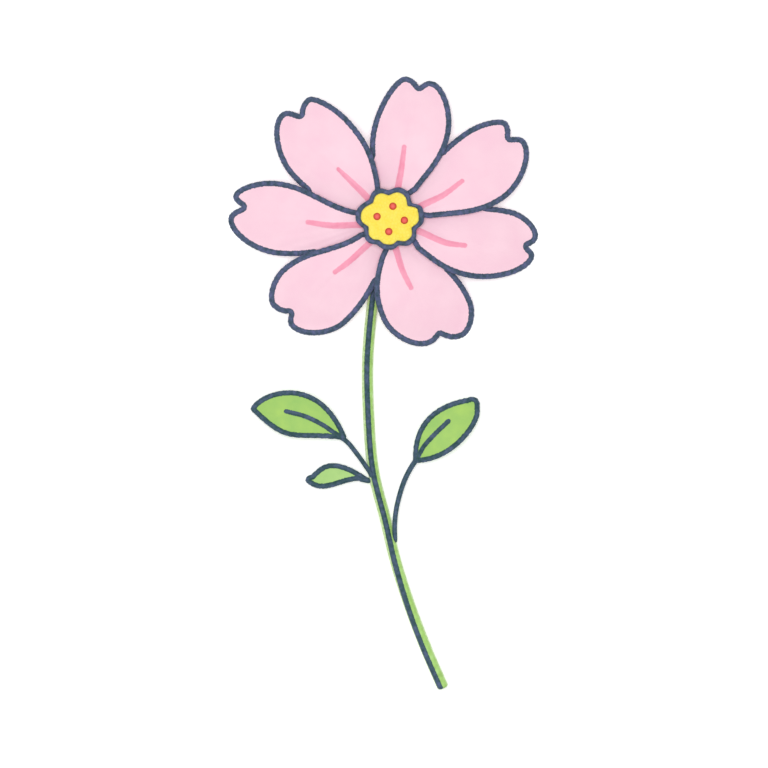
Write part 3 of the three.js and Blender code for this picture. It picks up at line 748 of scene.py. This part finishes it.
def makeStem():
    heading = np.array(stem["route"][-1])
    heading = heading / np.linalg.norm(heading)
    neck = []
    for share in np.linspace(0, 1, stem["neckPoints"]):
        away = stem["neckBend"] * (1 - math.sin(share * math.pi / 2))
        rise = stem["neckBend"] * (1 - math.cos(share * math.pi / 2))
        neck.append([*(heading * away), stem["level"] + rise])
    points = [[x, y, stem["level"]] for x, y in stem["route"]] + neck
    route = smoothRoute(points, stem["spacing"])
    fromCut = np.arange(len(route)) * stem["spacing"]
    drift = smooth(route[:, 1], *stem["drift"])
    side = mix(*stem["ridgeSide"], drift)[:, None]
    away = np.linspace(0, 360, stem["corners"] + 1)[None, :]
    fromCrest = np.minimum(away, 360 - away)
    lift = stem["ridge"] * (1 + np.cos(np.pi * np.clip(fromCrest / stem["ridgeWide"], 0, 1))) / 2
    size = (stem["radius"] + lift) * mix(stem["cutShare"], 1, roundEnd(fromCut, stem["cutRound"]))[:, None]
    places = tubePlaces(route, away + side, size)
    places[:, -1] = places[:, 0]
    places[..., 2] = np.maximum(places[..., 2], stem["lowest"])
    piece, row, column = shapedGrid("stem_fine", places)
    around = stem["radius"] + stem["ridge"] / 2     # halfway up the ridge
    setMark(piece, "inkEdge", np.radians(fromCrest[0])[column] * around - mix(*stem["lineHalf"], drift)[row])
    # a paler band runs along each flank: partly the stem's own pale strip, partly painted light that
    # lightens the flanks against the shade they get from the lamp above
    turn = (away[0][column] + side[row, 0] + 180) % 360 - 180
    leftEnd, rightEnd = stem["paleAndPaintedLightPast"]
    paleAndPaintedLight = np.maximum(np.minimum(turn - leftEnd, rightEnd - turn), np.abs(turn) - stem["paleAndPaintedLightEnd"])
    setMark(piece, "streakEdge", np.radians(paleAndPaintedLight) * around)
    closeSkin(piece)
    piece.data.materials.append(stemMaterial)
    putOn(piece, "stem")


makeStem()
print("stem made")


# lobes: bearing, reach and half the breadth in degrees; clefts: bearing and reach of the one after each;
# flare: how far the plug opens out and up; plugTop: how far out of its radius it meets the disc;
# inkUnder, inkFoot and inkCord: marks where the plug meets the disc, at the cord's foot and on the cord;
# meanReach turns shares of the reach into mm for the mark
disc = {
    "lobes": [[6, 7.15, 10], [66, 6.65, 3], [117, 6.55, 2], [177, 7.25, 4], [226, 6.85, 1], [266, 6.65, 6],
              [312, 7.05, 4]],
    "clefts": [[34, 5.3], [93, 5.6], [139, 5.65], [203, 5.8], [244, 6.15], [288, 5.95], [336, 5.9]],
    "lobeRound": 0.75,
    "below": 10.9, "rim": 12.1, "crown": 13.1, "plugRadius": 2.6, "plugBelow": 9.6,
    "flare": (1.2, 0.7), "plugTop": 2.5, "inkUnder": 1, "inkFoot": -0.2, "inkCord": -0.6,
    "cord": 1.36, "cordTurn": (-80, 180), "cordRings": 14, "cordFoot": 0.1,
    "seamOut": 0.05, "seamSunk": 0.15, "topStart": 0.97, "topRings": 14, "meanReach": 7,
    "spokes": 252, "goldenAngle": 137.508,
    "floretCount": 210, "floretField": 7.1, "floretRadius": 0.44, "floretRise": 0.2, "floretSunk": 0.3,
    "floretSpin": 1.7,
    "antherRadius": 0.94, "antherRise": 0.75, "antherFlat": 0.72, "antherClear": 0.34,
    "anthers": [[0.71, 2.87], [-3.24, 0.32], [3.58, -0.64], [-0.31, -3.45]],
}


def discReach(bearing):
    # broad round lobes with narrow clefts between them
    marks = [mark for pair in zip(disc["lobes"], disc["clefts"]) for mark in pair]
    for k, start in enumerate(marks):
        end = marks[(k + 1) % len(marks)]
        span, past = (end[0] - start[0]) % 360, (bearing - start[0]) % 360
        if past <= span:
            lobe, cleft, away = (end, start, span - past) if k % 2 else (start, end, past)
            way = max(away - lobe[2], 0) / (span - lobe[2])
            return mix(cleft[1], lobe[1], ((1 + math.cos(math.pi * way)) / 2) ** disc["lobeRound"])
    return disc["lobes"][0][1]


def atBearing(radius, bearing, level):
    angle = math.radians(bearing)
    return [radius * math.cos(angle), radius * math.sin(angle), level]


def domeLevel(share):
    return disc["rim"] + (disc["crown"] - disc["rim"]) * (1 - share ** 2)


def makeDiscCore():
    bearings = np.linspace(0, 360, disc["spokes"] + 1)
    reaches = np.array([discReach(bearing) for bearing in bearings])
    plug, flare = disc["plugRadius"], disc["flare"]
    # each ring: share of the reach, width added, level, mark for the ink
    rings = [(0, 0, disc["plugBelow"], farOff), (0, plug, disc["plugBelow"], farOff),
             (0, plug + flare[0], disc["plugBelow"] + flare[1], farOff),
             (0, plug + disc["plugTop"], disc["below"], disc["inkUnder"]),
             (1, disc["cordFoot"], disc["below"], disc["inkFoot"])]
    cord = disc["cord"] / 2
    for turn in np.linspace(*disc["cordTurn"], disc["cordRings"]):
        angle = math.radians(turn)
        rings.append((1, cord + cord * math.cos(angle), disc["below"] + cord + cord * math.sin(angle),
                      disc["inkCord"]))
    rings[-1] = (1, disc["seamOut"], disc["rim"] - disc["seamSunk"], 0)     # where cord and dome meet
    for share in np.linspace(disc["topStart"], 0, disc["topRings"]):
        rings.append((share, 0, domeLevel(share), (1 - share) * disc["meanReach"]))
    places = np.array([[atBearing(reach * share + extra, bearing, level)
                        for bearing, reach in zip(bearings, reaches)] for share, extra, level, _ in rings])
    places[:, -1] = places[:, 0]
    core, row, column = shapedGrid("disc_core", places)
    setMark(core, "inkEdge", np.array([ring[3] for ring in rings])[row])
    closeSkin(core)
    core.data.materials.append(discMaterial)
    return core


# tube is a share of the floret's radius, and mouth of the tube's; lip and hollow: width and rise in mm
floretShape = {"corners": 10, "tube": 0.85, "mouth": 1.12, "lip": (0.16, 0.06), "hollow": (0.1, -0.04),
               "lobes": 5, "lobeDepth": 0.14, "sharpest": 50}


def makeFloretShape():
    # one tube floret: five-sided, belled at the mouth, with a hollow in its top
    tall = disc["floretSunk"] + disc["floretRise"]
    bpy.ops.mesh.primitive_cylinder_add(vertices=floretShape["corners"], depth=tall * mm,
                                        radius=disc["floretRadius"] * floretShape["tube"] * mm)
    floret = bpy.context.object
    bpy.ops.object.mode_set(mode="EDIT")
    bpy.ops.mesh.select_mode(type="FACE")
    bpy.ops.mesh.select_all(action="DESELECT")
    bpy.ops.object.mode_set(mode="OBJECT")
    for face in floret.data.polygons:
        face.select = face.normal.z > 0.9
    bpy.ops.object.mode_set(mode="EDIT")
    bpy.ops.transform.resize(value=(floretShape["mouth"], floretShape["mouth"], 1))
    for width, rise in (floretShape["lip"], floretShape["hollow"]):
        bpy.ops.mesh.inset(thickness=width * mm, depth=rise * mm)
    bpy.ops.object.mode_set(mode="OBJECT")
    for vertex in floret.data.vertices:
        angle = math.degrees(math.atan2(vertex.co.y, vertex.co.x))
        lobed = 1 + floretShape["lobeDepth"] * math.cos(math.radians(floretShape["lobes"] * angle))
        vertex.co.x *= lobed
        vertex.co.y *= lobed
    bpy.ops.object.shade_smooth_by_angle(angle=math.radians(floretShape["sharpest"]))
    return floret


def copyOf(piece, spin, place):
    copy = piece.copy()
    copy.data = piece.data.copy()
    bpy.context.collection.objects.link(copy)
    copy.rotation_euler = (0, 0, math.radians(spin))
    copy.location = Vector(np.array(place) * mm + headAxis)
    return copy


def applyPlaces(pieces):
    onlySelect(*pieces)
    bpy.ops.object.transform_apply(location=True, rotation=True, scale=True)


def makeFlorets():
    floret = makeFloretShape()
    florets = []
    room = disc["antherRadius"] + disc["antherClear"]
    for k in range(disc["floretCount"]):
        bearing = k * disc["goldenAngle"]
        radius = disc["floretField"] * math.sqrt((k + 0.5) / disc["floretCount"])
        x, y, _ = atBearing(radius, bearing, 0)
        reach = discReach(bearing)
        clear = all(math.hypot(x - antherX, y - antherY) > room for antherX, antherY in disc["anthers"])
        if clear and radius < reach - disc["floretRadius"]:
            centre = domeLevel(radius / reach) + (disc["floretRise"] - disc["floretSunk"]) / 2
            florets.append(copyOf(floret, bearing * disc["floretSpin"], [x, y, centre]))
    applyPlaces(florets)
    bpy.data.objects.remove(floret)
    whole = joinPieces("disc_florets", florets)
    setMark(whole, "inkEdge", np.full(len(whole.data.vertices), farOff))
    whole.data.materials.append(discMaterial)
    return whole


def makeAnthers():
    # red knobs: flattened balls, about half sunk into the disc
    bpy.ops.mesh.primitive_uv_sphere_add(segments=28, ring_count=16, radius=disc["antherRadius"] * mm)
    knob = bpy.context.object
    bpy.ops.object.mode_set(mode="EDIT")
    bpy.ops.mesh.select_all(action="SELECT")
    bpy.ops.transform.resize(value=(1, 1, disc["antherFlat"]))
    bpy.ops.object.mode_set(mode="OBJECT")
    bpy.ops.object.shade_smooth()
    rim = [math.hypot(vertex.co.x, vertex.co.y) / (disc["antherRadius"] * mm)
           for vertex in knob.data.vertices]
    setMark(knob, "knobRim", rim)
    knobs = []
    for x, y in disc["anthers"]:
        reach = discReach(math.degrees(math.atan2(y, x)))
        halfTall = disc["antherRadius"] * disc["antherFlat"]
        level = domeLevel(math.hypot(x, y) / reach) + disc["antherRise"] - halfTall
        knobs.append(copyOf(knob, 0, [x, y, level]))
    applyPlaces(knobs)
    bpy.data.objects.remove(knob)
    whole = joinPieces("disc_anthers", knobs)
    whole.data.materials.append(antherMaterial)
    return whole


def makeDisc():
    whole = joinPieces("disc_fine", [makeDiscCore(), makeFlorets(), makeAnthers()])
    putOn(whole, "disc")


makeDisc()
print("disc made")


# cup: radius and level from under the cup, round its rim and up the boss, all with shallow ribs;
# bractBelly: where a bract is widest, in shares of reach and half width; its handles lie round there;
# groove: depth and half width of the furrow along a bract
calyx = {
    "cup": [(0, 5), (1.8, 5), (2.7, 5.12), (3.6, 5.45), (4.3, 5.85), (4.68, 6.2), (4.66, 6.42), (4.4, 6.6),
            (3.2, 6.6), (2.95, 6.75), (2.9, 7.0), (2.9, 8.9), (2.78, 9.18), (2.5, 9.3), (0, 9.3)],
    "spokes": 96, "ribs": 8, "ribDepth": 0.018,
    "bractCount": 8, "bractRoot": 2, "bractReach": 10.6, "bractHalf": 1.35, "bractRootHalf": 0.9,
    "bractBelly": (0.5, 1.35), "bellyStart": 0.8, "bellyEnd": 1.3, "bractRows": 24,
    "bractLevel": 5.6, "bractLift": 0.5, "bractDroop": 0.12, "groove": (0.1, 0.25),
}
bractShape = {**bladeShape, "half": 0.2, "beadHalf": 0.34, "lineWidth": 0.5, "trim": 0.02, "rough": 0.04,
              "beadSteps": [0, 0.1, 0.35, 0.65, 1], "fieldSteps": 4, "spineSteps": 2}


def makeCup():
    bearings = np.radians(np.linspace(0, 360, calyx["spokes"] + 1))
    swells = 1 + calyx["ribDepth"] * np.cos(calyx["ribs"] * bearings)
    widest = 1 + calyx["ribDepth"]
    places = np.array([[[radius * swell * math.cos(bearing) / widest,
                         radius * swell * math.sin(bearing) / widest, level]
                        for bearing, swell in zip(bearings, swells)] for radius, level in calyx["cup"]])
    places[:, -1] = places[:, 0]
    cup, row, column = shapedGrid("calyx_cup", places)
    setMark(cup, "inkEdge", np.full(len(row), farOff))
    closeSkin(cup)
    return cup


def makeBract(bearing):
    root, reach, rootHalf = calyx["bractRoot"], calyx["bractReach"], calyx["bractRootHalf"]
    belly = [reach * calyx["bractBelly"][0], calyx["bractHalf"] * calyx["bractBelly"][1]]
    left, right = [bezier([root, side * rootHalf], [belly[0] * calyx["bellyStart"], side * belly[1]],
                          [belly[0] * calyx["bellyEnd"], side * belly[1]], [reach, 0], calyx["bractRows"])
                   for side in (-1, 1)]

    def height(along, across):
        droop = calyx["bractDroop"] * across ** 2
        return calyx["bractLevel"] + calyx["bractLift"] * (along / reach) ** 2 - droop

    def groove(flat):
        depth, half = calyx["groove"]
        return np.full(len(flat), farOff), -depth * np.exp(-(np.abs(flat[:, 1]) / half) ** 2)

    blade = {
        "left": left, "right": right, "fanRows": 0, "beadShare": 0.5, "ribHalf": 0.3,
        "rootTurn": (0, 4), "tipTurn": (2, 8), "smoothTip": 2,
        "spine": spineOf([[root, 0], [reach / 2, 0], [reach, 0]], left, right, leastStep),
        "height": height, "streak": groove, "leftInked": lambda flat: np.ones(len(flat)), "lowest": 0,
        "seed": 1,
        "lineWidth": lambda flat: np.full(len(flat), bractShape["lineWidth"]),
    }
    return bladePiece("bract", blade, bractShape, turned(bearing))


def makeCalyx():
    step = 360 / calyx["bractCount"]
    whole = joinPieces("calyx_fine", [makeCup()] + [makeBract(k * step) for k in range(calyx["bractCount"])])
    whole.data.materials.append(calyxMaterial)
    putOn(whole, "calyx")


makeCalyx()
print("calyx made")


studio = {
    "field": 0.192, "lens": 1200, "sensor": 36, "aim": (0.000217, -0.000315, 0.003),
    "floorSize": 12, "floorLevel": -0.0001, "floorGlow": 0.2,
    "paperTones": [(0.3, (252, 252, 252)), (0.7, (254, 254, 254))], "paperPatch": 40,
    "paperRoughness": 0.9, "paperShine": 0.1,
    "sky": 0.42, "lampPower": 31.5, "lampSize": 1.0, "lampPlace": (-0.08, 0.06, 2.2), "farthest": 20,
}


def makeFloor():
    bpy.ops.mesh.primitive_plane_add(size=studio["floorSize"], location=(0, 0, studio["floorLevel"]))
    floor = bpy.context.object
    floor.name = "floor"
    material, tree = newMaterial("whitePaper")
    shader = tree.nodes["Principled BSDF"]
    tone = colourRamp(tree, noiseAt(tree, studio["paperPatch"]), studio["paperTones"])
    tree.links.new(tone, shader.inputs["Base Color"])
    shader.inputs["Roughness"].default_value = studio["paperRoughness"]
    shader.inputs["Specular IOR Level"].default_value = studio["paperShine"]
    # glows a little, like a light table
    shader.inputs["Emission Color"].default_value = (1, 1, 1, 1)
    shader.inputs["Emission Strength"].default_value = studio["floorGlow"]
    floor.data.materials.append(material)


def makeLight():
    world = bpy.data.worlds.new("softRoom")
    bpy.context.scene.world = world
    world.use_nodes = True
    background = world.node_tree.nodes["Background"]
    background.inputs["Color"].default_value = (1, 1, 1, 1)
    background.inputs["Strength"].default_value = studio["sky"]
    bpy.ops.object.light_add(type="AREA", location=studio["lampPlace"])
    lamp = bpy.context.object
    lamp.data.energy = studio["lampPower"]
    lamp.data.size = studio["lampSize"]
    lamp.rotation_euler = (-Vector(studio["lampPlace"])).to_track_quat("-Z", "Y").to_euler()


def makeCamera():
    away = studio["field"] * studio["lens"] / studio["sensor"]
    x, y, z = studio["aim"]
    bpy.ops.object.camera_add(location=(x, y, z + away), rotation=(0, 0, 0))
    camera = bpy.context.object
    camera.data.lens = studio["lens"]
    camera.data.sensor_width = studio["sensor"]
    camera.data.clip_end = studio["farthest"]
    bpy.context.scene.camera = camera
    bpy.context.scene.view_settings.view_transform = "Standard"


makeFloor()
makeLight()
makeCamera()
print("stage set")
